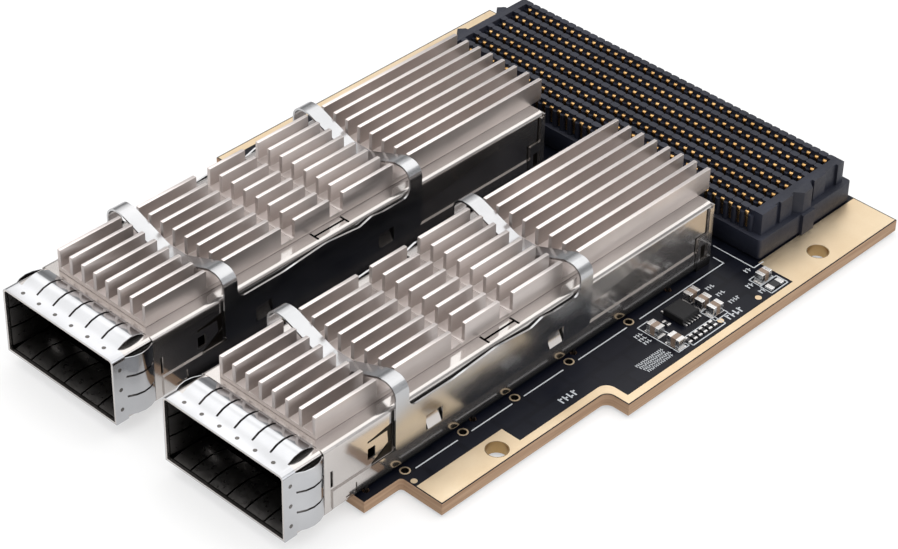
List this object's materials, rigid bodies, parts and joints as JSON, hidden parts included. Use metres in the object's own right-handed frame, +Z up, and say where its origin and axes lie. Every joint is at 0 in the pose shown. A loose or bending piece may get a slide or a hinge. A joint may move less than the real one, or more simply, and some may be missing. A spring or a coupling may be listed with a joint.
{
  "type": "fpga mezzanine card",
  "caption": "Stepped plug-in circuit board with two side-by-side caged module ports under clipped finned heat sinks and a wide ribbed board-to-board connector behind them.",
  "frame": {"origin": "centre of the card's footprint, on the underside of the board", "axes": "+Y from the port mouths to the rear edge, +Z up from the board's underside to the component side, +X across the card to the right seen from the mouths"},
  "size_m": [0.069, 0.0936, 0.0137],
  "materials": {
    "board": "dark solder mask with gold edge strips",
    "connector_plastic": "matte moulded black",
    "contact_gold": "gold plated",
    "cage_metal": "bright nickel plate",
    "collar_metal": "bright nickel plate",
    "clip_steel": "satin spring steel",
    "heat_sink_metal": "satin nickel plated",
    "chip_body": "matte moulded",
    "solder_tin": "tinned",
    "capacitor_body": "satin ceramic with tinned ends",
    "resistor_body": "glazed with tinned ends"
  },
  "bodies": {
    "root": {"circuit_board": "board", "mezzanine_connector_housing": "connector_plastic", "mezzanine_connector_contacts": "contact_gold", "controller_chip": "chip_body", "controller_chip_leads": "solder_tin", "ceramic_capacitors": "capacitor_body", "chip_resistors": "resistor_body", "left_cage_shell": "cage_metal", "left_cage_pan": "cage_metal", "left_cage_rear_cover": "cage_metal", "left_emi_collar": "collar_metal", "left_heat_sink": "heat_sink_metal", "left_heat_sink_clip": "clip_steel", "left_port_connector": "connector_plastic", "left_port_contacts": "contact_gold", "right_cage_shell": "cage_metal", "right_cage_pan": "cage_metal", "right_cage_rear_cover": "cage_metal", "right_emi_collar": "collar_metal", "right_heat_sink": "heat_sink_metal", "right_heat_sink_clip": "clip_steel", "right_port_connector": "connector_plastic", "right_port_contacts": "contact_gold"}
  },
  "joints": []
}
